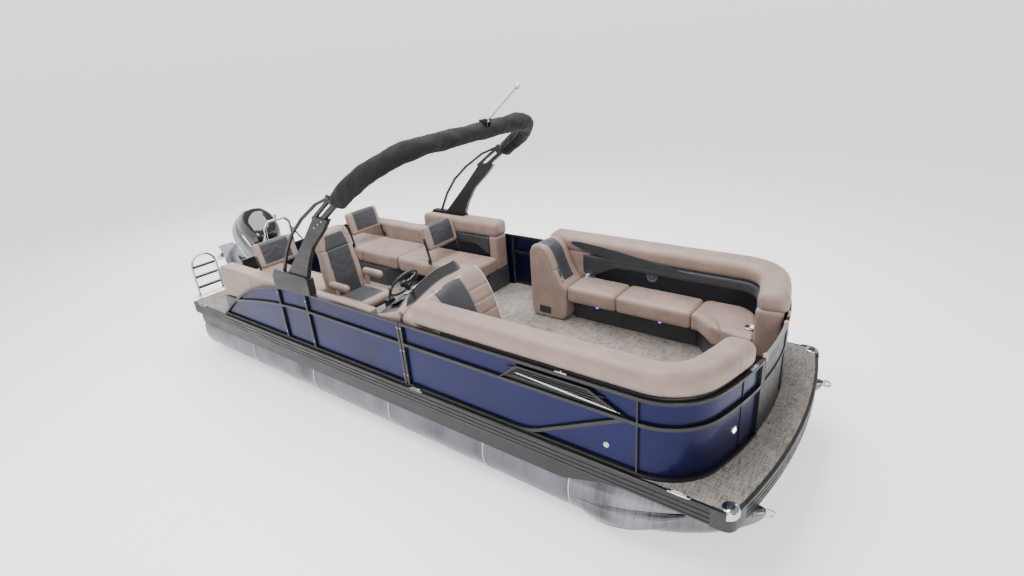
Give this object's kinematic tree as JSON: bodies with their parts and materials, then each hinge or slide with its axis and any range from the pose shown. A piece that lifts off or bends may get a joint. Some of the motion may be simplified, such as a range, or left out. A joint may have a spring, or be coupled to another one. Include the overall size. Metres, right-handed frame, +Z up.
{
  "type": "pontoon boat",
  "caption": "Pontoon boat with railed deck, bow and stern lounges, helm, arch and tilting outboard engine.",
  "frame": {"origin": "on the ground under the middle of the boat's whole length, between the two tubes", "axes": "+X forward to the bow, +Y to port, +Z up"},
  "size_m": [9.0415, 2.669, 3.354],
  "materials": {
    "tube_aluminium": "brushed",
    "woven_vinyl": "woven",
    "black_rail": "satin",
    "charcoal_skirt": "satin",
    "chrome": "polished",
    "navy_panel": "metallic gloss",
    "charcoal_vinyl": "grained",
    "taupe_vinyl": "grained",
    "tinted_screen": "tinted",
    "black_plastic": "moulded",
    "canvas": "woven",
    "engine_casting": "satin",
    "engine_silver": "metallic",
    "engine_gloss": "gloss",
    "steel_propeller": "satin"
  },
  "bodies": {
    "boat": {"pontoon_starboard": "tube_aluminium", "pontoon_port": "tube_aluminium", "cross_members": "tube_aluminium", "motor_pod": "tube_aluminium", "deck": "woven_vinyl", "rub_rail": "black_rail", "corner_caps": "chrome", "side_skirts": "charcoal_skirt", "bow_eyes": "chrome", "cleats": "chrome", "starboard_aft_frame": "black_rail", "starboard_bow_frame": "black_rail", "port_aft_frame": "black_rail", "port_bow_frame": "black_rail", "starboard_aft_panel": "navy_panel", "starboard_bow_panel": "navy_panel", "port_aft_panel": "navy_panel", "port_bow_panel": "navy_panel", "stern_fence": "black_rail", "starboard_bow_base": "charcoal_vinyl", "port_bow_base": "charcoal_vinyl", "starboard_bow_backrest": "taupe_vinyl", "port_bow_backrest": "taupe_vinyl", "starboard_bow_seat": "taupe_vinyl", "port_bow_seat": "taupe_vinyl", "port_chaise": "taupe_vinyl", "console": "taupe_vinyl", "console_chaise": "charcoal_vinyl", "windscreen": "tinted_screen", "throttle": "black_plastic", "helm_pedestal": "chrome", "stern_bases": "charcoal_vinyl", "starboard_stern_pads": "taupe_vinyl", "port_stern_pads": "taupe_vinyl", "starboard_coaming": "taupe_vinyl", "port_coaming": "taupe_vinyl", "flip_lugs": "chrome", "arch": "black_rail", "arch_boot": "canvas", "tow_bar": "chrome", "ladder_bracket": "chrome", "clamp_bracket": "engine_casting"},
    "bow_gate": {"bow_gate": "black_rail"},
    "port_gate": {"port_gate": "black_rail"},
    "stern_gate": {"stern_gate": "black_rail"},
    "helm_chair": {"helm_seat": "taupe_vinyl", "helm_back": "charcoal_vinyl"},
    "starboard_bow_lid": {"starboard_bow_lid": "taupe_vinyl"},
    "port_bow_lid": {"port_bow_lid": "taupe_vinyl"},
    "starboard_flip_back": {"starboard_flip_back": "charcoal_vinyl"},
    "port_flip_back": {"port_flip_back": "charcoal_vinyl"},
    "mid_flip_back": {"mid_flip_back": "charcoal_vinyl"},
    "light_mast": {"light_mast": "chrome"},
    "ladder": {"ladder": "chrome"},
    "swivel": {"swivel_bracket": "engine_casting"},
    "engine": {"engine_leg": "engine_silver", "engine_cowl": "engine_gloss"},
    "propeller": {"propeller": "steel_propeller"},
    "steering_wheel": {"steering_wheel": "black_plastic"}
  },
  "joints": [
    {"name": "bow_gate_swing", "type": "hinge", "parent": "boat", "child": "bow_gate", "pos_m": [4.17445, 0.339, 1.09], "axis": [0, 0, -1], "range_deg": [0, 90]},
    {"name": "port_gate_swing", "type": "hinge", "parent": "boat", "child": "port_gate", "pos_m": [1.36975, 1.232, 1.09], "axis": [0, 0, 1], "range_deg": [0, 90]},
    {"name": "stern_gate_swing", "type": "hinge", "parent": "boat", "child": "stern_gate", "pos_m": [-2.09225, 0.314, 1.05], "axis": [0, 0, 1], "range_deg": [0, 90]},
    {"name": "helm_chair_swivel", "type": "hinge", "parent": "boat", "child": "helm_chair", "pos_m": [-0.03725, -0.64, 1.08], "axis": [0, 0, 1], "range_deg": [-180, 180]},
    {"name": "starboard_lid_lift", "type": "hinge", "parent": "boat", "child": "starboard_bow_lid", "pos_m": [2.87775, -0.9965, 1.19], "axis": [1, 0, 0], "range_deg": [0, 80]},
    {"name": "port_lid_lift", "type": "hinge", "parent": "boat", "child": "port_bow_lid", "pos_m": [2.87775, 0.9965, 1.19], "axis": [-1, 0, 0], "range_deg": [0, 80]},
    {"name": "starboard_flip_over", "type": "hinge", "parent": "boat", "child": "starboard_flip_back", "pos_m": [-1.47725, -0.7, 1.228], "axis": [0, 1, 0], "range_deg": [0, 52]},
    {"name": "port_flip_over", "type": "hinge", "parent": "boat", "child": "port_flip_back", "pos_m": [-1.47725, 0.7, 1.228], "axis": [0, 1, 0], "range_deg": [0, 52]},
    {"name": "mid_flip_over", "type": "hinge", "parent": "boat", "child": "mid_flip_back", "pos_m": [0.00275, 0.7, 1.228], "axis": [0, 1, 0], "range_deg": [0, 52]},
    {"name": "light_mast_raise", "type": "hinge", "parent": "boat", "child": "light_mast", "pos_m": [1.32275, 0.18, 3.01], "axis": [0, 1, 0], "range_deg": [-50, 0]},
    {"name": "ladder_fold", "type": "hinge", "parent": "boat", "child": "ladder", "pos_m": [-2.97325, -0.985, 0.776], "axis": [0, 1, 0], "range_deg": [-165, 0]},
    {"name": "engine_tilt", "type": "hinge", "parent": "boat", "child": "swivel", "pos_m": [-3.36725, 0, 0.75], "axis": [0, 1, 0], "range_deg": [-55, 0]},
    {"name": "engine_steer", "type": "hinge", "parent": "swivel", "child": "engine", "pos_m": [-3.45329, 0, 0.87287], "axis": [0.8192, 0, 0.5736], "range_deg": [-30, 30]},
    {"name": "propeller_spin", "type": "hinge", "parent": "engine", "child": "propeller", "pos_m": [-4.37253, 0, 0.72119], "axis": [-0.5736, 0, 0.8192], "continuous": true},
    {"name": "wheel_turn", "type": "hinge", "parent": "boat", "child": "steering_wheel", "pos_m": [0.80275, -0.64, 1.39], "axis": [-0.8192, 0, 0.5736], "range_deg": [-720, 720]}
  ],
  "couplings": [
    {"joint": "wheel_turn", "follows": "engine_steer", "ratio": -24}
  ]
}
